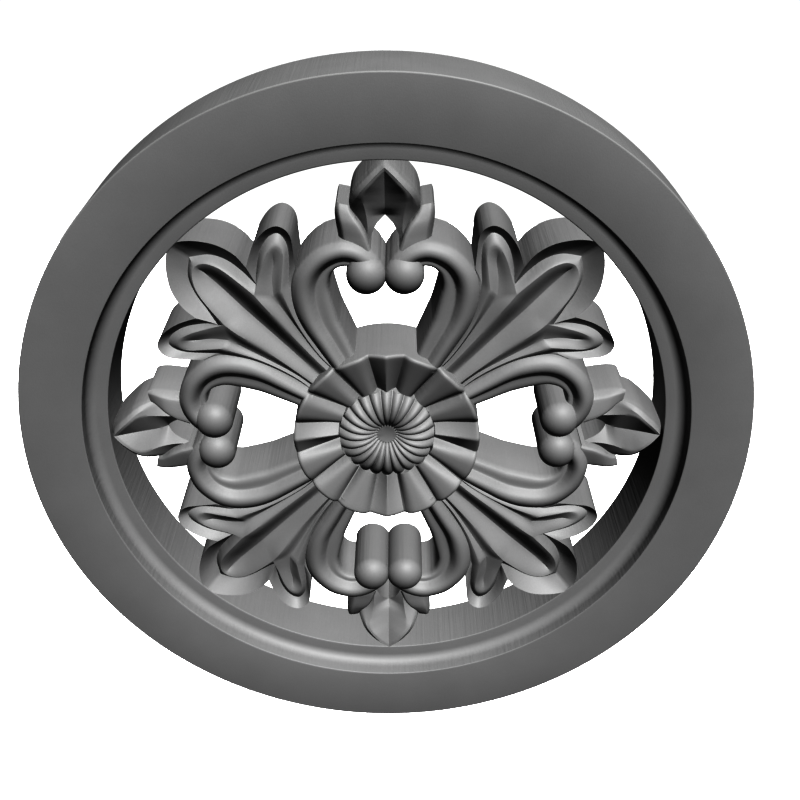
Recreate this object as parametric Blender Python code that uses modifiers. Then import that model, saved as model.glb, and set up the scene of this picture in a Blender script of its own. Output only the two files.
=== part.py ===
"""Carved openwork rosette: a moulded ring around a four-armed ornament, cut from one disc.

The rosette hangs upright. X is across, Z is up, and its flat back is at Y = 0.
It faces -Y. The origin is the middle of the back.
"""
import math

import bmesh
import bpy
from mathutils import Matrix, Vector
from mathutils.geometry import delaunay_2d_cdt

MM = 0.001

# Driving sizes, in millimetres. Heights are measured from the flat back.
OUTER_RADIUS = 110.0
THICKNESS = 25.3
RIM_ROUND = 0.5
FACE_INNER = 91.7
LEDGE_OUTER = 88.2
HOLE_RADIUS = 85.0
LEDGE_HEIGHT = 18.8
LEDGE_ROUND = 0.4
COVE_TOP = 21.9
COVE_STEPS = 3
RING_STEPS = 64

HUB_AROUND = 96
BUTTON_RADIUS = 14.7
BUTTON_CREST_RADIUS = 8.8
BUTTON_CREST = 23.0
BUTTON_EDGE = 19.8
BUTTON_RIBS = 24
BUTTON_GROOVE = 1.5
DIMPLE_RADIUS = 3.2
DIMPLE_HEIGHT = 19.9
DIMPLE_WALL = 0.4
HUB_RADIUS = 28.3
HUB_ROUND = 0.9
HUB_PETALS = 16
PETAL_RIDGE = (20.4, 24.0)
PETAL_VALLEY = (16.6, 21.8)
BUTTON_GAP = 0.1

BALL_CENTRE = (5.4, 52.4)
BALL_RADIUS = 5.5
BALL_SIDES = 16
BALL_TOP = 25.0
BALL_SHOULDER = 19.9
BALL_STEPS = 4

SCROLL_STEPS = 14

# How far each element is drawn below the back, before the back is sawn flat.
LEAF_BELOW = 2.0
SCROLL_BELOW = 3.0
SIDE_LEAF_BELOW = 4.0
PETAL_BELOW = 5.0
BALL_BELOW = 6.0
HUB_BELOW = 7.0
RING_BELOW = 8.0

COLOUR = (0.115, 0.115, 0.115, 1.0)
SAME_POINT = 0.02
MERGE = 0.000001


def clear_scene():
    for thing in list(bpy.data.objects):
        bpy.data.objects.remove(thing, do_unlink=True)


def grey_paint():
    material = bpy.data.materials.new("grey_satin")
    material.use_nodes = True
    shader = material.node_tree.nodes["Principled BSDF"]
    shader.inputs["Base Color"].default_value = COLOUR
    shader.inputs["Roughness"].default_value = 0.4
    shader.inputs["Metallic"].default_value = 0.0
    return material


def lay(across, along, height):
    """Places a point of the carving, drawn in the plane of the disc, in metres."""
    return Vector((across * MM, -height * MM, along * MM))


def smooth_line(points, steps):
    """A smooth curve through the given points, as steps + 1 points."""
    line = [Vector(point) for point in points]
    ends = [2 * line[0] - line[1]] + line + [2 * line[-1] - line[-2]]
    result = []
    for i in range(steps + 1):
        place = i / steps * (len(line) - 1)
        k = min(int(place), len(line) - 2)
        t = place - k
        a, b, c, d = ends[k:k + 4]
        result.append(0.5 * (2 * b + (c - a) * t + (2 * a - 5 * b + 4 * c - d) * t * t
                             + (3 * b - a - 3 * c + d) * t ** 3))
    return result


def turned(line, angle):
    """The same line in the plane of the disc, turned about its middle."""
    turn = Matrix.Rotation(angle, 3, "Z")
    return [turn @ point for point in line]


def mirrored(line):
    return [Vector((-point.x, point.y, point.z)) for point in line]


def finish(mesh, name):
    """Makes an object of the mesh, with its faces outward."""
    bmesh.ops.recalc_face_normals(mesh, faces=mesh.faces)
    data = bpy.data.meshes.new(name)
    mesh.to_mesh(data)
    mesh.free()
    thing = bpy.data.objects.new(name, data)
    bpy.context.scene.collection.objects.link(thing)
    return thing


def relief(name, outline, creases, below):
    """A solid with a flat back and upright sides, whose front passes through the lines given."""
    points = []
    edges = []

    def index_of(point):
        for k, other in enumerate(points):
            if (other.xy - point.xy).length < SAME_POINT:
                return k
        points.append(point)
        return len(points) - 1

    loop = []
    for point in outline:
        k = index_of(point)
        if not loop or loop[-1] != k:
            loop.append(k)
    if loop[0] == loop[-1]:
        loop.pop()
    pairs = zip(loop, loop[1:] + loop[:1])
    if sum(points[a].xy.cross(points[b].xy) for a, b in pairs) < 0:
        loop.reverse()
    for crease in creases:
        indices = [index_of(point) for point in crease]
        edges += [(a, b) for a, b in zip(indices, indices[1:]) if a != b]
    flat = [point.xy for point in points]
    verts, _, faces, sources, _, inside = delaunay_2d_cdt(flat, edges, [loop], 1, 1e-6, True)
    heights = []
    for vert, source in zip(verts, sources):
        if source:
            heights.append(points[source[0]].z)
        else:
            near = sorted(points, key=lambda other: (other.xy - vert).length)[:2]
            heights.append((near[0].z + near[1].z) / 2)
    mesh = bmesh.new()
    front = [mesh.verts.new(lay(v.x, v.y, h)) for v, h in zip(verts, heights)]
    back = [mesh.verts.new(lay(v.x, v.y, -below)) for v in verts]
    for face, origin in zip(faces, inside):
        if origin:
            mesh.faces.new([front[k] for k in face])
            mesh.faces.new([back[k] for k in reversed(face)])
    twin = {a: b for a, b in zip(front, back)}
    for edge in [e for e in mesh.edges if len(e.link_faces) == 1 and e.verts[0] in twin]:
        a, b = edge.verts
        if edge.link_loops[0].vert == a:
            a, b = b, a
        mesh.faces.new([a, b, twin[b], twin[a]])
    loose = [v for v in mesh.verts if not v.link_faces]
    bmesh.ops.delete(mesh, geom=loose, context="VERTS")
    return finish(mesh, name)


def union(base, other):
    """Joins one solid to another and removes the other."""
    joint = base.modifiers.new("join", "BOOLEAN")
    joint.operation = "UNION"
    joint.solver = "EXACT"
    joint.object = other
    shape = bpy.data.meshes.new_from_object(base.evaluated_get(bpy.context.evaluated_depsgraph_get()))
    base.modifiers.clear()
    mesh = bmesh.new()
    mesh.from_mesh(shape)
    bmesh.ops.remove_doubles(mesh, verts=mesh.verts, dist=MERGE)
    mesh.to_mesh(shape)
    mesh.free()
    base.data = shape
    bpy.data.objects.remove(other, do_unlink=True)
    return base


def leaf():
    """The corner leaf, drawn pointing up: a middle lobe and two fingers, each with a raised tongue."""
    midrib = smooth_line([(0, 24, 18.9), (0, 44, 18.0), (0, 58, 17.6), (0, 71.5, 16.4), (0, 77.4, 16.6)], 7)
    ridge_low = smooth_line([(2.9, 24, 19.9), (3.4, 33, 20.3), (4.5, 44, 20.7), (6.0, 55, 21.8),
                             (6.5, 59.5, 21.5)], 5)
    ridge_high = smooth_line([(6.5, 59.5, 21.5), (5.9, 66, 20.8), (5.2, 71.5, 19.8), (3.4, 75.2, 18.6),
                              (0, 77.4, 16.6)], 6)
    foot = smooth_line([(8.6, 60.5, 19.6), (7.7, 66, 17.1), (6.6, 71.5, 16.4), (4.1, 76.5, 16.1),
                        (0, 78.9, 16.0)], 6)
    rim = smooth_line([(11, 66.6, 20.6), (11.3, 71.5, 20.0), (9.6, 77, 19.8), (5.5, 82.2, 19.0),
                       (0, 85.3, 18.4)], 7)
    tongue = smooth_line([(6.5, 59.5, 21.5), (11, 61.8, 20.6), (15.5, 64.1, 20.3), (19.2, 65.2, 20.0),
                          (21.6, 64.2, 19.8), (20.9, 61.8, 20.0), (17.4, 58.8, 20.6), (12.8, 55, 21.4)], 11)
    outer_ridge = smooth_line([(12.8, 55, 21.4), (8, 44, 20.6), (5.2, 33, 20.1), (4.7, 24, 19.7)], 5)
    groove = smooth_line([(4.0, 24, 18.9), (4.6, 33, 19.2), (7, 44, 19.6), (9.7, 55, 20.0), (13.2, 59.4, 19.4),
                          (18.2, 62.8, 18.8)], 8)
    finger_foot = smooth_line([(8.6, 60.5, 19.6), (11.5, 63.4, 18.7), (16.5, 66.6, 18.4), (21.2, 67.5, 18.3),
                               (24.0, 65.4, 18.3), (22.6, 61.6, 18.5), (19.2, 57.8, 18.9), (15.6, 54.6, 19.6)], 10)
    side = smooth_line([(5.5, 24, 19.1), (6.0, 33, 19.3), (9.4, 44, 19.6), (15.6, 54.6, 19.6)], 5)
    finger_rim = smooth_line([(11, 66.6, 20.6), (16.5, 68.9, 20.5), (22, 69.8, 20.4), (26.3, 68.2, 20.3),
                              (26.6, 64.9, 20.2), (24.0, 60.8, 20.0), (20.2, 56.2, 19.8)], 10)
    under = smooth_line([(20.2, 56.2, 19.8), (17.6, 53.0, 17.0), (10.4, 43, 17.0), (7.0, 33, 17.0),
                         (6.5, 23, 17.0)], 5)
    half = rim[::-1] + finger_rim[1:] + under[1:]
    outline = half + mirrored(half[:-1])[::-1]
    lines = [ridge_low, ridge_high, foot, tongue, outer_ridge, groove, finger_foot, side, [foot[0], rim[0]]]
    creases = [midrib, [midrib[-1], foot[-1], rim[-1]]] + lines + [mirrored(line) for line in lines]
    turn = -math.pi / 4
    return relief("leaf", turned(outline, turn), [turned(line, turn) for line in creases], LEAF_BELOW)


def scroll():
    """One side's scroll: a band with a rounded main rib and a lower inner ledge, curling in to the ball."""
    outer = smooth_line([(15.2, 21.5, 0), (20.9, 30.3, 0), (24.2, 35.8, 0), (26.4, 41.3, 0), (27.1, 47.3, 0),
                         (26.2, 52.3, 0), (23.7, 56.3, 0), (19.8, 60, 0), (15.4, 61.9, 0), (11, 62.5, 0),
                         (6.0, 61, 0), (1.9, 57.7, 0), (0.4, 53.5, 0)], SCROLL_STEPS)
    inner = smooth_line([(8.2, 24.5, 0), (11.8, 33, 0), (13.0, 35.8, 0), (14, 38.5, 0), (15.7, 45.1, 0),
                         (16.2, 48.4, 0), (15.6, 51.4, 0), (14.4, 53.1, 0), (13.2, 53.9, 0), (12.0, 54.2, 0),
                         (11, 54.3, 0), (10.4, 54, 0), (9.6, 53.5, 0)], SCROLL_STEPS)
    stations = ((0.0, 19.2), (0.14, 21.4), (0.3, 22.4), (0.45, 21.8), (0.58, 19.9), (0.8, 19.6), (1.0, 17.6))
    lines = []
    for across, height in stations:
        line = []
        for a, b in zip(outer, inner):
            point = a.lerp(b, across)
            point.z = height
            line.append(point)
        lines.append(line)
    outline = lines[0] + lines[-1][::-1]
    return relief("scroll", outline, lines, SCROLL_BELOW)


def side_leaf():
    """The small leaf that leans out beside the petal: upright towards it, and rounded off on the other side."""
    inner = smooth_line([(4.1, 59.4, 20.7), (5.7, 64.3, 20.3), (7.4, 67.0, 19.7), (9.4, 70.0, 18.0),
                         (9.9, 71.4, 16.4)], 4)
    brow = smooth_line([(11.2, 59.4, 19.7), (11.5, 66.0, 19.3), (12.6, 70.6, 17.4)], 3)
    outer = smooth_line([(13.9, 59.4, 15.3), (14.1, 66.0, 15.2), (13.5, 72.2, 15.9)], 3)
    outline = inner + outer[::-1]
    return relief("side_leaf", outline, [brow], SIDE_LEAF_BELOW)


def petal():
    """The pointed petal at the end of an arm: two full lobes with a fold between them."""
    base = smooth_line([(0, 68.0, 13.5), (1.2, 67.4, 15.0), (2.8, 65.0, 15.8), (4.9, 60.5, 16.2)], 3)
    fold = smooth_line([(0, 68.0, 13.5), (0, 71.0, 15.9), (0, 75.5, 17.4), (0, 80.0, 19.8), (0, 81.4, 21.1),
                        (0, 82.9, 21.9)], 5)
    crest = smooth_line([(4.7, 63.6, 16.7), (4.7, 69.0, 17.6), (5.6, 75.2, 19.8), (4.0, 78.4, 21.0),
                         (0, 81.4, 21.1)], 4)
    rim = smooth_line([(6.9, 66.7, 15.4), (8.9, 71.6, 17.0), (7.7, 75.0, 19.7), (5.7, 77.6, 20.9),
                       (2.8, 80.7, 21.6), (0, 82.9, 21.9)], 5)
    side = smooth_line([(9.5, 66.5, 14.6), (10.2, 71.0, 15.0), (9.2, 75.4, 16.0), (7.0, 78.8, 16.4),
                        (3.6, 82.2, 15.4), (0, 86.2, 12.6)], 5)
    half = base + [Vector((9.0, 60.5, 14.6))] + side
    outline = half + mirrored(half[:-1])[::-1]
    lines = [crest, rim]
    return relief("petal", outline[:-1], [fold] + lines + [mirrored(line) for line in lines], PETAL_BELOW)


def ball():
    """A drum with a domed top, at the end of the scroll."""
    depth = BALL_SHOULDER + BALL_BELOW
    centre = lay(BALL_CENTRE[0], BALL_CENTRE[1], BALL_SHOULDER - depth / 2)
    bpy.ops.mesh.primitive_cylinder_add(vertices=BALL_SIDES, radius=BALL_RADIUS * MM, depth=depth * MM,
                                        location=centre, rotation=(math.pi / 2, 0, 0))
    drum = bpy.context.active_object
    bpy.ops.object.transform_apply(location=True, rotation=True, scale=True)
    mesh = bmesh.new()
    mesh.from_mesh(drum.data)
    front = min(mesh.faces, key=lambda face: face.calc_center_median().y)
    rise = BALL_TOP - BALL_SHOULDER
    last = 1.0
    for k in range(1, BALL_STEPS):
        angle = k / BALL_STEPS * math.pi / 2
        level = math.cos(angle)
        bmesh.ops.inset_region(mesh, faces=[front], thickness=(last - level) * BALL_RADIUS * MM)
        height = BALL_SHOULDER + rise * math.sin(angle)
        for vert in front.verts:
            vert.co.y = -height * MM
        last = level
    tip = bmesh.ops.poke(mesh, faces=[front])["verts"][0]
    tip.co.y = -BALL_TOP * MM
    mesh.to_mesh(drum.data)
    mesh.free()
    return drum


def button_height(radius, angle):
    """The ribbed button: a rounded collar around a flat dimple."""
    if radius <= DIMPLE_RADIUS:
        return DIMPLE_HEIGHT
    share = (radius - BUTTON_CREST_RADIUS) / (BUTTON_RADIUS - BUTTON_CREST_RADIUS)
    crest = BUTTON_CREST - (BUTTON_CREST - BUTTON_EDGE) * share * share
    return crest - BUTTON_GROOVE * (1 - abs(math.cos(angle * BUTTON_RIBS / 2)))


def flower_height(radius, angle):
    """The flower around the button: four folded petals on the axes, and broad rounded ones between."""
    share = (radius - BUTTON_RADIUS) / (HUB_RADIUS - BUTTON_RADIUS)
    ridge = PETAL_RIDGE[0] + (PETAL_RIDGE[1] - PETAL_RIDGE[0]) * share
    valley = PETAL_VALLEY[0] + (PETAL_VALLEY[1] - PETAL_VALLEY[0]) * share
    place = angle * HUB_PETALS / math.tau
    off = 2 * abs(place - round(place))
    on_axis = round(place) % (HUB_PETALS // 4) == 0
    return ridge + (valley - ridge) * off ** (1.0 if on_axis else 2.4)


def hub():
    """The middle: a ribbed button in a shallow flower of sixteen petals."""
    angles = [math.tau * k / HUB_AROUND for k in range(HUB_AROUND)]
    rings = []
    for radius in (DIMPLE_RADIUS, DIMPLE_RADIUS + DIMPLE_WALL, BUTTON_CREST_RADIUS, BUTTON_RADIUS - BUTTON_GAP):
        rings.append((radius, [button_height(radius, angle) for angle in angles]))
    for radius in (BUTTON_RADIUS + BUTTON_GAP, HUB_RADIUS - HUB_ROUND):
        rings.append((radius, [flower_height(radius, angle) for angle in angles]))
    rings.append((HUB_RADIUS, [flower_height(HUB_RADIUS, angle) - HUB_ROUND for angle in angles]))
    rings.append((HUB_RADIUS, [-HUB_BELOW for angle in angles]))
    mesh = bmesh.new()
    loops = []
    for radius, heights in rings:
        loops.append([mesh.verts.new(lay(radius * math.cos(angle), radius * math.sin(angle), height))
                      for angle, height in zip(angles, heights)])
    for near, far in zip(loops, loops[1:]):
        for k in range(HUB_AROUND):
            n = (k + 1) % HUB_AROUND
            mesh.faces.new([near[k], near[n], far[n], far[k]])
    mesh.faces.new(loops[0])
    mesh.faces.new(loops[-1])
    return finish(mesh, "hub")


def ring():
    """The moulded ring, turned from its profile."""
    profile = [(OUTER_RADIUS, THICKNESS - RIM_ROUND), (OUTER_RADIUS, -RING_BELOW), (HOLE_RADIUS, -RING_BELOW),
               (HOLE_RADIUS, LEDGE_HEIGHT - LEDGE_ROUND), (HOLE_RADIUS + LEDGE_ROUND, LEDGE_HEIGHT),
               (LEDGE_OUTER, LEDGE_HEIGHT)]
    wall = FACE_INNER - RIM_ROUND
    for k in range(1, COVE_STEPS + 1):
        angle = k / COVE_STEPS * math.pi / 2
        profile.append((LEDGE_OUTER + (wall - LEDGE_OUTER) * math.sin(angle),
                        LEDGE_HEIGHT + (COVE_TOP - LEDGE_HEIGHT) * (1 - math.cos(angle))))
    profile += [(wall, THICKNESS - RIM_ROUND), (FACE_INNER, THICKNESS), (OUTER_RADIUS - RIM_ROUND, THICKNESS)]
    data = bpy.data.meshes.new("ring")
    verts = [(radius * MM, 0.0, height * MM) for radius, height in profile]
    count = len(verts)
    data.from_pydata(verts, [(k, (k + 1) % count) for k in range(count)], [])
    thing = bpy.data.objects.new("ring", data)
    bpy.context.scene.collection.objects.link(thing)
    screw = thing.modifiers.new("turn", "SCREW")
    screw.axis = "Z"
    screw.angle = math.tau
    screw.steps = RING_STEPS
    screw.render_steps = RING_STEPS
    screw.use_merge_vertices = True
    screw.merge_threshold = MERGE
    shape = bpy.data.meshes.new_from_object(thing.evaluated_get(bpy.context.evaluated_depsgraph_get()))
    bpy.data.objects.remove(thing, do_unlink=True)
    mesh = bmesh.new()
    mesh.from_mesh(shape)
    bmesh.ops.remove_doubles(mesh, verts=mesh.verts, dist=MERGE)
    bmesh.ops.rotate(mesh, verts=mesh.verts, matrix=Matrix.Rotation(math.pi / 2, 3, "X"))
    return finish(mesh, "ring")


def wedge():
    """The eighth of the ornament between an arm's middle and a leaf's middle, open where it was cut."""
    shape = leaf()
    for element in (scroll(), ball(), petal(), side_leaf()):
        shape = union(shape, element)
    mesh = bmesh.new()
    mesh.from_mesh(shape.data)
    for normal in (Vector((-1, 0, 0)), Vector((1, 0, -1)).normalized()):
        bmesh.ops.bisect_plane(mesh, geom=mesh.verts[:] + mesh.edges[:] + mesh.faces[:], dist=MERGE,
                               plane_co=(0, 0, 0), plane_no=normal, clear_outer=True)
    mesh.to_mesh(shape.data)
    mesh.free()
    return shape


def ornament():
    """All eight wedges: each mirrored copy meets its neighbour on the cut."""
    shape = wedge()
    mesh = bmesh.new()
    mesh.from_mesh(shape.data)
    flips = (Matrix(((0, 0, 1), (0, 1, 0), (1, 0, 0))), Matrix.Diagonal((-1, 1, 1)), Matrix.Diagonal((1, 1, -1)))
    for flip in flips:
        copy = bmesh.ops.duplicate(mesh, geom=mesh.verts[:] + mesh.edges[:] + mesh.faces[:])["geom"]
        verts = [item for item in copy if isinstance(item, bmesh.types.BMVert)]
        faces = [item for item in copy if isinstance(item, bmesh.types.BMFace)]
        bmesh.ops.transform(mesh, matrix=flip.to_4x4(), verts=verts)
        bmesh.ops.reverse_faces(mesh, faces=faces)
        bmesh.ops.remove_doubles(mesh, verts=mesh.verts, dist=10 * MERGE)
    bmesh.ops.recalc_face_normals(mesh, faces=mesh.faces)
    mesh.to_mesh(shape.data)
    mesh.free()
    return shape


def saw_back(shape, cutters):
    """Saws the back off flat at Y = 0."""
    size = 3 * OUTER_RADIUS * MM
    bpy.ops.mesh.primitive_cube_add(size=size, location=(0, size / 2, 0))
    saw = bpy.context.active_object
    saw.name = "saw"
    saw.hide_render = True
    saw.display_type = "WIRE"
    bpy.context.collection.objects.unlink(saw)
    cutters.objects.link(saw)
    cut = shape.modifiers.new("saw", "BOOLEAN")
    cut.operation = "DIFFERENCE"
    cut.solver = "EXACT"
    cut.object = saw


def main():
    clear_scene()
    parts = bpy.data.collections.new("carved_rosette")
    cutters = bpy.data.collections.new("cutters")
    bpy.context.scene.collection.children.link(parts)
    bpy.context.scene.collection.children.link(cutters)
    rosette = union(union(ring(), ornament()), hub())
    saw_back(rosette, cutters)
    rosette.name = "rosette"
    rosette.data.name = "rosette"
    rosette.data.materials.clear()
    rosette.data.materials.append(grey_paint())
    rosette.data.set_sharp_from_angle(angle=math.radians(30))
    bpy.context.scene.collection.objects.unlink(rosette)
    parts.objects.link(rosette)


main()
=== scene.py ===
"""Carved openwork rosette in satin grey, seen from the front and above.

The carving is drawn in millimetres in the plane of the disc, with each point's height
above the flat back. It is then laid out upright: X across, Z up, the back at Y = 0.
"""
import math

import bpy
from mathutils import Matrix, Vector


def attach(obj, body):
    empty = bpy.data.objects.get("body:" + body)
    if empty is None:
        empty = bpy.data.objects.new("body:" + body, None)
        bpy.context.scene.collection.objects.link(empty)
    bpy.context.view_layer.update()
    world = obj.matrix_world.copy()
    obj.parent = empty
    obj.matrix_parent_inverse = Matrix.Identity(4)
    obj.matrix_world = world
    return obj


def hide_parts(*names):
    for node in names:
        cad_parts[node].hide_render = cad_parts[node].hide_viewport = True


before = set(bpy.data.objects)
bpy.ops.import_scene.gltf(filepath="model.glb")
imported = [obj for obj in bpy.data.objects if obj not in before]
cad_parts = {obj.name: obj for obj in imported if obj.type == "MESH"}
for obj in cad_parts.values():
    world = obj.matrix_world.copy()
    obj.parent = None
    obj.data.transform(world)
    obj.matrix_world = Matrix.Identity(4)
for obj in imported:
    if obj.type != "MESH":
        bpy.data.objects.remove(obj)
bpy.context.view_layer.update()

MM = 0.001

OUTER_RADIUS = 110.0
THICKNESS = 25.3
HOLE_RADIUS = 85.0
LEDGE_OUTER = 88.2
COVE_TOP = 21.9
COVE_RADIUS = 3.1
OUTER_ROUND = 0.5
INNER_ROUND = 0.35
RING_BELOW = 8.0
RING_STEPS = 256

HUB_RADIUS = 28.3
HUB_ROUND = 1.2
HUB_BELOW = 7.0
HUB_AROUND = 384
FLOWER_PETALS = 16
BUTTON_RADIUS = 14.7
BUTTON_LIP = 0.9
BUTTON_RIBS = 24
DIMPLE_RADIUS = 3.3
DIMPLE_HEIGHT = 19.9

BALL_CENTRE = (5.4, 52.4)
BALL_RADIUS = 5.75
BALL_SHOULDER = 19.9
BALL_TOP = 25.0
BALL_BELOW = 6.0

GROOVE = 0.585
GROOVE_SHIFT = 0.15
CURL_START = 0.3
CURL_LENGTH = 0.3

CAMERA_TURN = math.radians(0.3)
PICTURE_WIDTH = 800


def deselect():
    if bpy.context.mode != "OBJECT":
        bpy.ops.object.mode_set(mode="OBJECT")
    bpy.ops.object.select_all(action="DESELECT")


def take(piece):
    """Makes one piece the only one selected, and the active one."""
    deselect()
    piece.select_set(True)
    bpy.context.view_layer.objects.active = piece
    return piece


def lay(across, along, height):
    """A point of the carving, set upright with the back at Y = 0."""
    return Vector((across * MM, -height * MM, along * MM))


def drawn(name, points, edges, faces):
    """A new piece made of these points, selected and ready to be worked on."""
    data = bpy.data.meshes.new(name)
    data.from_pydata(points, edges, faces)
    made = bpy.data.objects.new(name, data)
    bpy.context.scene.collection.objects.link(made)
    return take(made)


def select_open_edges():
    """Selects the edges with a face on one side only."""
    bpy.ops.mesh.select_all(action="DESELECT")
    bpy.ops.mesh.select_non_manifold(extend=False, use_wire=False, use_boundary=True,
                                     use_multi_face=False, use_non_contiguous=False, use_verts=False)


def turn_outward():
    """Turns all faces outward, and leaves edit mode."""
    bpy.ops.mesh.select_all(action="SELECT")
    bpy.ops.mesh.normals_make_consistent(inside=False)
    bpy.ops.object.mode_set(mode="OBJECT")


def smooth_line(points, steps):
    """A smooth curve through the given points, as steps + 1 points."""
    line = [Vector(point) for point in points]
    ends = [2 * line[0] - line[1]] + line + [2 * line[-1] - line[-2]]
    result = []
    for i in range(steps + 1):
        place = i / steps * (len(line) - 1)
        k = min(int(place), len(line) - 2)
        t = place - k
        a, b, c, d = ends[k:k + 4]
        result.append(0.5 * (2 * b + (c - a) * t + (2 * a - 5 * b + 4 * c - d) * t * t
                             + (3 * b - a - 3 * c + d) * t ** 3))
    return result


def even_line(points, steps):
    """The same curve, with its points evenly spaced along it."""
    fine = smooth_line(points, 400)
    reach = [0.0]
    for a, b in zip(fine, fine[1:]):
        reach.append(reach[-1] + (b - a).length)
    result = []
    k = 0
    for i in range(steps + 1):
        goal = reach[-1] * i / steps
        while k < len(fine) - 2 and reach[k + 1] < goal:
            k += 1
        span = reach[k + 1] - reach[k]
        result.append(fine[k].lerp(fine[k + 1], (goal - reach[k]) / span if span else 0.0))
    return result


def straight(share):
    """Even all the way from one line to the next."""
    return share


def crowned(power):
    """Flat near the first line and steep near the second, as on a rounded ridge."""
    return lambda share: share ** power


def waved(share):
    """Soft at both lines and steepest half-way, as from a valley up on to a ridge."""
    return 0.35 * share + 0.65 * share * share * (3 - 2 * share)


def hairpin(points, steps):
    """One smooth line that goes out and comes back, as two lines that meet at its far end."""
    line = even_line(points, 2 * steps)
    return line[:steps + 1], line[:steps - 1:-1]


class Front:
    """The front of one carved element, made of strips between drawn lines."""

    def __init__(self):
        self.points = []
        self.faces = []

    def strip(self, near, far, steps, rise=straight):
        """Adds the surface from one line to another; rise gives its height on the way."""
        start = len(self.points)
        for a, b in zip(near, far):
            for k in range(steps + 1):
                share = k / steps
                point = a.lerp(b, share)
                point.z = a.z + (b.z - a.z) * rise(share)
                self.points.append(point)
        row = steps + 1
        for i in range(len(near) - 1):
            for k in range(steps):
                a = start + i * row + k
                self.faces.append((a, a + 1, a + 1 + row, a + row))

    def mirror(self):
        """Adds the other half, with across turned round."""
        count = len(self.points)
        self.points += [Vector((-p.x, p.y, p.z)) for p in self.points]
        self.faces += [tuple(count + k for k in reversed(face)) for face in self.faces]

    def turn(self, angle):
        """Turns the element about the middle of the disc."""
        spin = Matrix.Rotation(angle, 3, "Z")
        self.points = [spin @ p for p in self.points]

    def piece(self, name, below):
        """The element as a solid, with upright sides that run below the back."""
        made = drawn(name, [lay(p.x, p.y, p.z) for p in self.points], [], self.faces)
        bpy.ops.object.mode_set(mode="EDIT")
        bpy.ops.mesh.select_mode(type="EDGE")
        bpy.ops.mesh.select_all(action="SELECT")
        bpy.ops.mesh.remove_doubles(threshold=2e-6)
        bpy.ops.mesh.dissolve_degenerate(threshold=1e-6)
        select_open_edges()
        bpy.ops.mesh.extrude_edges_move(TRANSFORM_OT_translate={"value": (0, 0.04, 0)})
        # Scaled to nothing in depth, the new edges all lie flat behind the back.
        bpy.ops.transform.resize(value=(1, 0, 1), center_override=(0, below * MM, 0))
        bpy.ops.mesh.edge_face_add()
        turn_outward()
        return made


def join(base, other):
    """Joins one solid to another, and removes the other."""
    take(base)
    weld = base.modifiers.new("join", "BOOLEAN")
    weld.operation = "UNION"
    weld.solver = "EXACT"
    weld.object = other
    bpy.ops.object.modifier_apply(modifier=weld.name)
    bpy.data.objects.remove(other, do_unlink=True)
    return base


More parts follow.
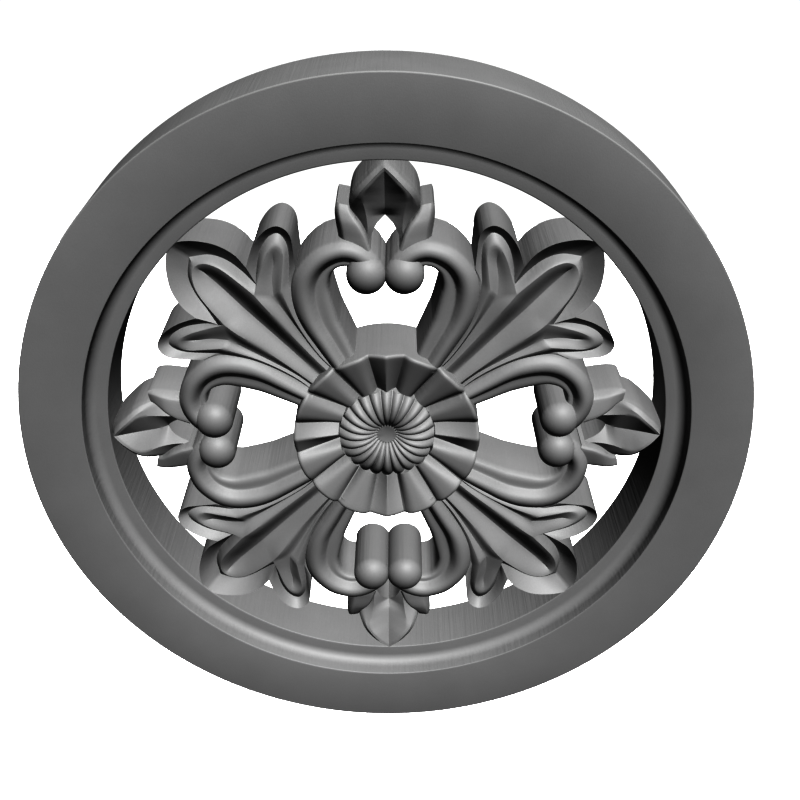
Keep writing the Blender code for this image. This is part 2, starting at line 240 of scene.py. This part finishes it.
def corner_leaf():
    """Three lobes: a wide middle one and a finger at each side, each with its own raised tongue."""
    low, high, finger = 26, 30, 26
    midrib = (even_line([(0, 24, 18.9), (0, 44, 18.0), (0, 58, 17.6)], low)
              + even_line([(0, 58, 17.6), (0, 67, 16.7), (0, 73.2, 16.8)], high)[1:])
    ridge_low = even_line([(2.9, 24, 19.9), (3.4, 33, 20.3), (4.5, 44, 20.7), (6.0, 55, 21.8),
                           (6.5, 59.5, 21.5)], low)
    ridge_high = even_line([(6.5, 59.5, 21.5), (6.0, 65.5, 20.8), (5.1, 71.0, 19.8), (3.4, 74.5, 18.9),
                            (1.6, 76.1, 18.4), (0, 76.6, 18.2)], high)
    foot = even_line([(8.6, 60.5, 19.4), (8.0, 66, 16.9), (7.0, 71.3, 15.8), (4.6, 75.8, 15.5),
                      (0, 79.3, 15.4)], high)
    rim = even_line([(11, 66.6, 20.8), (11.3, 71.5, 20.3), (9.7, 77, 20.0), (6.2, 81.8, 19.3),
                     (2.6, 84.8, 18.8), (0, 85.7, 18.6)], high)
    tongue_up, tongue_down = hairpin([(6.5, 59.5, 21.5), (11, 61.8, 20.7), (15.5, 64.2, 20.5),
                                      (19.2, 65.3, 20.2), (21.3, 64.6, 20.0), (21.6, 62.9, 20.0),
                                      (20.4, 61.0, 20.2), (17.4, 58.6, 20.7), (12.8, 55, 21.4)], finger)
    outer_ridge = even_line([(4.7, 24, 19.7), (5.2, 33, 20.1), (8, 44, 20.6), (12.8, 55, 21.4)], low)
    groove = (even_line([(4.0, 24, 18.9), (4.6, 33, 19.2), (7, 44, 19.6), (9.7, 55, 20.1)], low)
              + even_line([(9.7, 55, 20.1), (13.2, 58.8, 19.5), (17.2, 61.7, 19.0)], finger)[1:])
    foot_up, foot_down = hairpin([(8.6, 60.5, 19.4), (11.5, 63.4, 18.5), (16.5, 66.6, 18.0),
                                  (20.9, 67.7, 17.9), (23.9, 66.7, 17.9), (24.0, 64.0, 18.0),
                                  (22.4, 61.1, 18.2), (19.2, 57.8, 18.7), (15.6, 54.6, 19.5)], finger)
    side = even_line([(5.5, 24, 19.1), (6.0, 33, 19.3), (9.4, 44, 19.6), (15.6, 54.6, 19.5)], low)
    rim_up, rim_down = hairpin([(11, 66.6, 20.8), (16.5, 69.2, 20.8), (21.8, 70.1, 20.7), (25.6, 69.0, 20.5),
                                (26.9, 66.4, 20.4), (26.3, 63.6, 20.3), (24.0, 60.6, 20.2),
                                (20.2, 56.2, 19.9)], finger)
    under = even_line([(6.5, 23.5, 17.0), (7.0, 33, 17.0), (10.4, 43, 17.0), (17.6, 53.0, 17.8),
                       (20.2, 56.2, 19.9)], low)
    front = Front()
    front.strip(midrib, ridge_low + ridge_high[1:], 10, waved)
    front.strip(ridge_high, foot, 6, crowned(1.5))
    front.strip(foot, rim, 8, crowned(1.25))
    front.strip(ridge_low + tongue_up[1:], groove, 6, waved)
    front.strip(outer_ridge + tongue_down[1:], groove, 6, waved)
    front.strip(tongue_up, foot_up, 6, crowned(1.5))
    front.strip(outer_ridge + tongue_down[1:], side + foot_down[1:], 6, crowned(1.5))
    front.strip(foot_up, rim_up, 8, crowned(1.25))
    front.strip(foot_down, rim_down, 8, crowned(1.25))
    front.strip(side, under, 8, crowned(1.25))
    front.mirror()
    front.turn(-math.pi / 4)
    return front.piece("corner_leaf", 2.0)


def scroll():
    """The scroll beside each leaf: a round main rib and a lower inner ledge, curled to the ball.

    The section runs from the outer side to the inner one. Its groove lies at the share GROOVE
    of the width, and moves towards the inner side where the scroll curls.
    """
    steps = 64
    outer = smooth_line([(15.2, 21.5, 0), (20.9, 30.3, 0), (24.2, 35.8, 0), (26.4, 41.3, 0), (27.1, 47.3, 0),
                         (26.2, 52.3, 0), (23.7, 56.3, 0), (19.8, 60, 0), (15.4, 61.9, 0), (11, 62.5, 0),
                         (6.0, 61, 0), (1.9, 57.7, 0), (0.4, 53.5, 0)], steps)
    inner = smooth_line([(8.2, 24.5, 0), (11.8, 33, 0), (13.0, 35.8, 0), (14, 38.5, 0), (15.7, 45.1, 0),
                         (16.2, 48.4, 0), (15.6, 51.4, 0), (14.4, 53.1, 0), (13.2, 53.9, 0), (12.0, 54.2, 0),
                         (11, 54.3, 0), (10.4, 54, 0), (9.6, 53.5, 0)], steps)
    section = smooth_line([(0.0, 19.0, 0), (0.03, 20.3, 0), (0.09, 21.2, 0), (0.18, 22.1, 0), (0.3, 22.5, 0),
                           (0.42, 22.1, 0), (0.52, 20.9, 0), (0.585, 19.95, 0), (0.66, 19.75, 0),
                           (0.8, 19.7, 0), (0.9, 19.35, 0), (0.96, 18.6, 0), (1.0, 17.5, 0)], 36)
    lines = []
    for station in section:
        line = []
        for k, (a, b) in enumerate(zip(outer, inner)):
            curl = min(max((k / steps - CURL_START) / CURL_LENGTH, 0.0), 1.0)
            place = GROOVE + GROOVE_SHIFT * curl
            share = min(max(station.x, 0.0), 1.0)
            if share < GROOVE:
                share *= place / GROOVE
            else:
                share = 1 - (1 - share) * (1 - place) / (1 - GROOVE)
            point = a.lerp(b, share)
            point.z = station.y
            line.append(point)
        lines.append(line)
    front = Front()
    for near, far in zip(lines, lines[1:]):
        front.strip(near, far, 1)
    return front.piece("scroll", 3.0)


def side_leaf():
    """The small leaf beside each petal, upright on the petal's side and round on the other."""
    steps = 24
    inner = even_line([(4.0, 60.0, 19.9), (4.7, 62.0, 19.8), (5.3, 63.8, 19.6), (6.1, 65.4, 19.4),
                       (6.9, 66.8, 19.1), (7.9, 68.1, 18.7), (8.8, 69.3, 18.1), (9.5, 70.4, 17.5),
                       (9.9, 71.6, 16.8)], steps)
    crest = even_line([(4.7, 59.6, 20.8), (5.4, 61.6, 20.7), (5.9, 63.3, 20.5), (6.6, 64.8, 20.3),
                       (7.4, 66.2, 20.0), (8.3, 67.4, 19.6), (9.1, 68.6, 19.0), (9.9, 70.0, 18.3),
                       (10.5, 71.9, 17.1)], steps)
    brow = even_line([(11.0, 59.6, 19.5), (11.2, 63.3, 19.3), (11.6, 66.0, 19.2), (12.1, 68.0, 18.9),
                      (12.5, 69.8, 18.3), (12.6, 71.2, 17.7), (12.5, 72.3, 17.0)], steps)
    outer = even_line([(13.0, 59.6, 15.9), (13.2, 62.6, 15.8), (13.7, 66.0, 15.9), (14.0, 68.8, 16.0),
                       (13.9, 71.0, 16.2), (13.4, 72.5, 16.5)], steps)
    front = Front()
    front.strip(crest, inner, 5, crowned(1.8))
    front.strip(crest, brow, 6, crowned(1.3))
    front.strip(brow, outer, 8, crowned(1.6))
    return front.piece("side_leaf", 4.0)


def petal():
    """The pointed petal at the end of an arm: two full lobes with a fold between them."""
    base = even_line([(5.2, 60.3, 16.2), (4.1, 62.4, 16.0), (3.2, 64.3, 15.8), (2.2, 66.0, 15.3),
                      (1.1, 67.2, 14.5), (0, 68.0, 13.7)], 16)
    fold = even_line([(0, 68.0, 13.7), (0, 69.4, 14.9), (0, 71.0, 15.9), (0, 75.5, 17.5), (0, 80.0, 19.3),
                      (0, 82.6, 20.5)], 32)
    crown = even_line([(5.4, 60.3, 16.4), (5.1, 62.6, 16.6), (4.9, 64.6, 16.9), (5.0, 67.0, 17.2),
                       (5.4, 70.0, 17.8), (6.0, 73.0, 18.9), (6.2, 74.8, 19.8), (5.9, 76.2, 20.4),
                       (5.1, 77.4, 20.8), (4.0, 78.6, 21.0), (2.0, 80.7, 20.9), (0, 82.6, 20.5)], 48)
    edge = even_line([(5.7, 60.3, 16.0), (5.8, 63.0, 15.8), (6.3, 65.0, 15.6), (7.1, 66.7, 15.6),
                      (8.0, 68.4, 15.8), (8.7, 70.0, 16.3), (8.8, 71.6, 17.2), (8.4, 73.0, 18.2),
                      (7.6, 75.0, 19.6), (6.8, 76.4, 20.3), (5.8, 77.6, 20.8), (4.8, 78.8, 21.1),
                      (2.9, 80.9, 21.2), (1.0, 82.7, 20.9), (0, 83.5, 20.7)], 48)
    side = even_line([(6.0, 60.3, 14.5), (6.8, 63.5, 14.5), (8.2, 66.4, 14.5), (9.5, 68.6, 14.6),
                      (10.0, 70.5, 14.9), (10.0, 72.0, 15.3), (9.9, 73.2, 15.8), (9.1, 75.9, 16.2),
                      (8.1, 77.6, 16.4), (7.1, 78.8, 16.4), (6.1, 79.9, 16.2), (5.1, 81.0, 15.9),
                      (3.3, 82.8, 15.0), (1.3, 84.6, 13.0), (0, 85.6, 12.2)], 48)
    brow = even_line([(5.9, 60.3, 15.3), (6.3, 63.2, 15.3), (7.2, 65.6, 15.2), (8.3, 67.6, 15.3),
                      (9.2, 69.3, 15.6), (9.6, 70.8, 16.0), (9.6, 72.1, 16.6), (9.4, 73.4, 17.3),
                      (8.6, 75.6, 18.5), (7.6, 77.3, 19.2), (6.6, 78.5, 19.6), (5.5, 79.7, 19.8),
                      (3.5, 81.8, 19.7), (1.2, 83.6, 18.9), (0, 84.1, 18.6)], 48)
    front = Front()
    front.strip(base + fold[1:], crown, 10)
    front.strip(crown, edge, 4)
    front.strip(edge, brow, 4, crowned(1.2))
    front.strip(brow, side, 6, crowned(1.2))
    front.mirror()
    return front.piece("petal", 5.0)


def ball():
    """The drum with a domed top at the end of each scroll."""
    steps = 14
    outline = [(BALL_RADIUS, -BALL_BELOW), (BALL_RADIUS, BALL_SHOULDER)]
    for k in range(1, steps):
        angle = k / steps * math.pi / 2
        outline.append((BALL_RADIUS * math.cos(angle),
                        BALL_SHOULDER + (BALL_TOP - BALL_SHOULDER) * math.sin(angle)))
    outline.append((0.0, BALL_TOP))
    return turned_on("ball", outline, 64, BALL_CENTRE)


def turned_on(name, outline, steps, centre=(0.0, 0.0)):
    """A solid turned from its outline (radius, height) about a line square to the disc.

    It starts half a step round, so that no edge lies where the carving is mirrored. An outline
    that ends in the middle leaves a round opening behind the back, which is closed with a face.
    """
    count = len(outline)
    hollow = outline[-1][0] > 0
    edges = [(k, (k + 1) % count) for k in range(count if hollow else count - 1)]
    start = math.pi / steps
    made = drawn(name, [lay(centre[0] + radius * math.cos(start), centre[1] + radius * math.sin(start), height)
                        for radius, height in outline], edges, [])
    bpy.ops.object.mode_set(mode="EDIT")
    bpy.ops.mesh.select_all(action="SELECT")
    bpy.ops.mesh.spin(steps=steps, angle=math.tau, center=lay(centre[0], centre[1], 0), axis=(0, 1, 0))
    bpy.ops.mesh.select_all(action="SELECT")
    bpy.ops.mesh.remove_doubles(threshold=2e-6)
    if not hollow:
        select_open_edges()
        bpy.ops.mesh.edge_face_add()
    turn_outward()
    return made


def button_height(radius, angle):
    """The ribbed button: a round collar about a flat dimple. The grooves deepen outward."""
    middle, crest, edge, roundness, depth = 8.9, 23.1, 19.9, 2.2, 0.15
    share = (radius - middle) / (BUTTON_RADIUS - middle)
    top = crest - (crest - edge) * abs(share) ** roundness
    place = angle * BUTTON_RIBS / math.tau
    off = 2 * abs(place - round(place))
    return top - depth * radius * (0.8 * off ** 2 + 0.2 * off ** 6)


def petal_height(radius, angle):
    """The flower: four petals folded on the axes, and broad round ones between them."""
    inner_ridge, ridge_rise, inner_depth, depth_loss = 20.3, 3.7, 3.8, 1.7
    share = (radius - BUTTON_RADIUS) / (HUB_RADIUS - BUTTON_RADIUS)
    ridge = inner_ridge + ridge_rise * share
    valley = ridge - inner_depth + depth_loss * share
    place = angle * FLOWER_PETALS / math.tau
    off = 2 * abs(place - round(place))
    if round(place) % (FLOWER_PETALS // 4) == 0:
        fall = off
    else:
        fall = 0.15 * off * off + 0.85 * off ** 3.5
    return ridge + (valley - ridge) * fall


def hub():
    """The middle: a ribbed button in a shallow flower, both drawn ring by ring from the dimple out."""
    angles = [math.tau * (k + 0.5) / HUB_AROUND for k in range(HUB_AROUND)]
    button_steps, flower_steps, rim_steps = 20, 10, 6
    rings = [(DIMPLE_RADIUS - 0.5, [DIMPLE_HEIGHT] * HUB_AROUND)]
    button_end = BUTTON_RADIUS - 0.15
    for k in range(button_steps + 1):
        radius = DIMPLE_RADIUS + (button_end - DIMPLE_RADIUS) * k / button_steps
        rings.append((radius, [button_height(radius, angle) for angle in angles]))
    rings.append((BUTTON_RADIUS - 0.05,
                  [button_height(BUTTON_RADIUS, angle) - BUTTON_LIP for angle in angles]))
    flower_start, flower_end = BUTTON_RADIUS + 0.1, HUB_RADIUS - HUB_ROUND
    for k in range(flower_steps + 1):
        radius = flower_start + (flower_end - flower_start) * k / flower_steps
        rings.append((radius, [petal_height(radius, angle) for angle in angles]))
    for k in range(1, rim_steps + 1):
        turn = k / rim_steps * math.pi / 2
        radius = flower_end + HUB_ROUND * math.sin(turn)
        drop = HUB_ROUND * (1 - math.cos(turn))
        rings.append((radius, [petal_height(radius, angle) - drop for angle in angles]))
    rings.append((HUB_RADIUS, [-HUB_BELOW] * HUB_AROUND))
    points = []
    for radius, heights in rings:
        points += [lay(radius * math.sin(angle), radius * math.cos(angle), height)
                   for angle, height in zip(angles, heights)]
    faces = []
    for i in range(len(rings) - 1):
        for k in range(HUB_AROUND):
            n = (k + 1) % HUB_AROUND
            a, b = i * HUB_AROUND, (i + 1) * HUB_AROUND
            faces.append((a + k, a + n, b + n, b + k))
    faces.append(tuple(range(HUB_AROUND)))
    last = (len(rings) - 1) * HUB_AROUND
    faces.append(tuple(last + k for k in range(HUB_AROUND)))
    made = drawn("hub", points, [], faces)
    bpy.ops.object.mode_set(mode="EDIT")
    turn_outward()
    return made


def arc(centre_radius, centre_height, radius, start, end, steps):
    """Points along an arc of the ring's section, by angle in degrees from straight outward."""
    points = []
    for k in range(steps + 1):
        angle = math.radians(start + (end - start) * k / steps)
        points.append((centre_radius + radius * math.cos(angle), centre_height + radius * math.sin(angle)))
    return points


def ring():
    """The moulded ring: a flat face, a hollow moulding and a lower ledge."""
    cove_outer = LEDGE_OUTER + COVE_RADIUS
    ledge_height = COVE_TOP - COVE_RADIUS
    section = [(OUTER_RADIUS, -RING_BELOW)]
    section += arc(OUTER_RADIUS - OUTER_ROUND, THICKNESS - OUTER_ROUND, OUTER_ROUND, 0, 90, 5)
    section += arc(cove_outer + INNER_ROUND, THICKNESS - INNER_ROUND, INNER_ROUND, 90, 180, 4)
    section += [(LEDGE_OUTER + across, COVE_TOP - down)
                for across, down in arc(0, 0, COVE_RADIUS, 0, 90, 12)]
    section += arc(HOLE_RADIUS + INNER_ROUND, ledge_height - INNER_ROUND, INNER_ROUND, 90, 180, 4)
    section += [(HOLE_RADIUS, -RING_BELOW)]
    return turned_on("ring", section, RING_STEPS)


def carve():
    """Joins the elements, mirrors the one eighth all round, and saws the back flat."""
    shape = corner_leaf()
    for element in (scroll(), ball(), petal(), side_leaf(), hub(), ring()):
        shape = join(shape, element)
    take(shape)
    guide = bpy.data.objects.new("diagonal", None)
    bpy.context.scene.collection.objects.link(guide)
    guide.rotation_euler = (0, math.pi / 4, 0)
    bpy.context.view_layer.update()
    for number, (mirror_object, axis) in enumerate(((guide, 0), (None, 0), (None, 2))):
        mirror = shape.modifiers.new(f"mirror_{number}", "MIRROR")
        mirror.use_axis = [axis == k for k in range(3)]
        mirror.use_bisect_axis = [axis == k for k in range(3)]
        if mirror_object:
            mirror.mirror_object = mirror_object
            mirror.use_bisect_flip_axis = [True, False, False]
        mirror.merge_threshold = 0.00001
        mirror.bisect_threshold = 0.000001
        bpy.ops.object.modifier_apply(modifier=mirror.name)
    bpy.data.objects.remove(guide, do_unlink=True)
    deselect()
    bpy.ops.mesh.primitive_cube_add(size=1, location=(0, 0.02, 0), scale=(0.3, 0.04, 0.3))
    saw = bpy.context.active_object
    take(shape)
    cut = shape.modifiers.new("saw", "BOOLEAN")
    cut.operation = "DIFFERENCE"
    cut.solver = "EXACT"
    cut.object = saw
    bpy.ops.object.modifier_apply(modifier=cut.name)
    bpy.data.objects.remove(saw, do_unlink=True)
    bpy.ops.object.mode_set(mode="EDIT")
    turn_outward()
    bpy.ops.object.shade_smooth_by_angle(angle=math.radians(32))
    shape.name = "carving"
    shape.data.name = "carving"
    return shape


class Socket:
    """A shader value that takes ordinary arithmetic, each sum adding its Math node."""

    def __init__(self, tree, output):
        self.tree = tree
        self.output = output

    def combine(self, operation, first, second):
        node = self.tree.nodes.new("ShaderNodeMath")
        node.operation = operation
        for slot, value in zip(node.inputs, (first, second)):
            if isinstance(value, Socket):
                self.tree.links.new(value.output, slot)
            else:
                slot.default_value = value
        return Socket(self.tree, node.outputs[0])

    def __add__(self, other):
        return self.combine("ADD", self, other)

    def __radd__(self, other):
        return self.combine("ADD", other, self)

    def __sub__(self, other):
        return self.combine("SUBTRACT", self, other)

    def __rsub__(self, other):
        return self.combine("SUBTRACT", other, self)

    def __mul__(self, other):
        return self.combine("MULTIPLY", self, other)

    def __rmul__(self, other):
        return self.combine("MULTIPLY", other, self)


def node(tree, kind, settings=None, **sockets):
    """Adds any other node: its settings first, then the values or links of its sockets."""
    made = tree.nodes.new(kind)
    for name, value in (settings or {}).items():
        setattr(made, name, value)
    for name, value in sockets.items():
        slot = made.inputs[name.replace("_", " ")]
        if isinstance(value, Socket):
            tree.links.new(value.output, slot)
        else:
            slot.default_value = value
    return made


def satin_grey():
    """Even grey paint over carved wood, with faint chisel streaks down the upright sides."""
    material = bpy.data.materials.new("satin_grey")
    material.use_nodes = True
    tree = material.node_tree
    shader = tree.nodes["Principled BSDF"]
    coordinates = node(tree, "ShaderNodeTexCoord")
    place = Socket(tree, coordinates.outputs["Object"])
    facing = Socket(tree, coordinates.outputs["Normal"])
    along_depth = (1.0, 0.02, 1.0)
    stretched = Socket(tree, node(tree, "ShaderNodeMapping", Vector=place, Scale=along_depth).outputs[0])
    streaks = Socket(tree, node(tree, "ShaderNodeTexNoise", Vector=stretched, Scale=900.0, Detail=3.0,
                                Roughness=0.6).outputs[0])
    grain = Socket(tree, node(tree, "ShaderNodeTexNoise", Vector=place, Scale=2500.0, Detail=2.0).outputs[0])
    clouds = Socket(tree, node(tree, "ShaderNodeTexNoise", Vector=place, Scale=60.0, Detail=3.0).outputs[0])
    depthwise = Socket(tree, node(tree, "ShaderNodeSeparateXYZ", Vector=facing).outputs["Y"])
    upright = 1.0 - depthwise * depthwise
    relief = streaks * upright * upright * 0.9 + grain * 0.1
    bump = node(tree, "ShaderNodeBump", Strength=0.45, Distance=0.0004, Height=relief)
    tree.links.new(bump.outputs[0], shader.inputs["Normal"])
    tone = node(tree, "ShaderNodeMix", {"data_type": "RGBA"})
    tone.inputs[6].default_value = (0.125, 0.125, 0.125, 1)
    tone.inputs[7].default_value = (0.150, 0.150, 0.150, 1)
    tree.links.new((clouds * 0.6 + grain * 0.4).output, tone.inputs[0])
    tree.links.new(tone.outputs[2], shader.inputs["Base Color"])
    tree.links.new((0.55 + 0.14 * clouds).output, shader.inputs["Roughness"])
    shader.inputs["Specular IOR Level"].default_value = 0.3
    return material


def white_floor():
    material = bpy.data.materials.new("white_floor")
    material.use_nodes = True
    shader = material.node_tree.nodes["Principled BSDF"]
    shader.inputs["Base Color"].default_value = (0.95, 0.95, 0.95, 1)
    shader.inputs["Roughness"].default_value = 0.9
    deselect()
    bpy.ops.mesh.primitive_plane_add(size=12, location=(0, 0, -1.6))
    floor = bpy.context.active_object
    floor.name = "floor"
    floor.data.materials.append(material)
    floor.visible_diffuse = False
    floor.visible_glossy = False
    return floor


def white_backdrop():
    material = bpy.data.materials.new("white_backdrop")
    material.use_nodes = True
    shader = material.node_tree.nodes["Principled BSDF"]
    shader.inputs["Base Color"].default_value = (0, 0, 0, 1)
    shader.inputs["Emission Color"].default_value = (1, 1, 1, 1)
    shader.inputs["Emission Strength"].default_value = 1.0
    deselect()
    bpy.ops.mesh.primitive_uv_sphere_add(segments=64, ring_count=32, radius=5)
    backdrop = bpy.context.active_object
    backdrop.name = "backdrop"
    backdrop.data.materials.append(material)
    backdrop.visible_diffuse = False
    backdrop.visible_glossy = False
    backdrop.visible_shadow = False
    return backdrop


def sun(name, toward, energy, spread, shadow):
    light = bpy.data.lights.new(name, "SUN")
    light.energy = energy
    light.angle = math.radians(spread)
    light.use_shadow = shadow
    lamp = bpy.data.objects.new(name, light)
    bpy.context.scene.collection.objects.link(lamp)
    lamp.rotation_euler = Vector(toward).to_track_quat("Z", "Y").to_euler()
    return lamp


def camera():
    """The picture's view: from the front, 29 degrees above the middle.

    Lengths are in the disc's radius, and the axis and focal length in the picture's pixels.
    """
    tilt, yaw, roll, distance, focal = 0.511377, -0.0032273, 0.0035961, 3.0635865, 1128.71867
    axis_x, axis_y, aside, above, face = 401.5539, 419.32776, -0.0406171, -0.0755646, 0.2304162
    radius = OUTER_RADIUS * MM
    outward = Vector((math.sin(yaw) * math.cos(tilt), math.sin(tilt), math.cos(yaw) * math.cos(tilt)))
    right = (-outward).cross(Vector((0, 1, 0))).normalized()
    up = right.cross(-outward)
    right, up = (math.cos(roll) * right + math.sin(roll) * up, -math.sin(roll) * right + math.cos(roll) * up)

    def upright(v):
        return Vector((v.x, -v.z, v.y))

    place = upright(outward * distance - Vector((aside, above, 0))) * radius
    place.y -= face * radius
    a, b, c = upright(right), upright(up), upright(outward)
    data = bpy.data.cameras.new("camera")
    data.sensor_width = 36
    data.lens = focal / PICTURE_WIDTH * data.sensor_width
    data.shift_x = 0.5 - axis_x / PICTURE_WIDTH
    data.shift_y = axis_y / PICTURE_WIDTH - 0.5
    data.clip_start = 0.01
    made = bpy.data.objects.new("camera", data)
    bpy.context.scene.collection.objects.link(made)
    stand = Matrix(((a.x, b.x, c.x, place.x), (a.y, b.y, c.y, place.y), (a.z, b.z, c.z, place.z),
                    (0, 0, 0, 1)))
    made.matrix_world = Matrix.Rotation(CAMERA_TURN, 4, "Y") @ stand
    bpy.context.scene.camera = made


carving = carve()
carving.data.materials.clear()
carving.data.materials.append(satin_grey())
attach(carving, "root")
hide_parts("rosette")
white_floor()
white_backdrop()

world = bpy.data.worlds.new("studio")
world.use_nodes = True
world.node_tree.nodes["Background"].inputs[0].default_value = (1, 1, 1, 1)
world.node_tree.nodes["Background"].inputs[1].default_value = 0.05
bpy.context.scene.world = world
sun("key", toward=(0.216, -0.56, 0.796), energy=14.3, spread=6, shadow=False)
bpy.context.scene.view_settings.view_transform = "Raw"
camera()
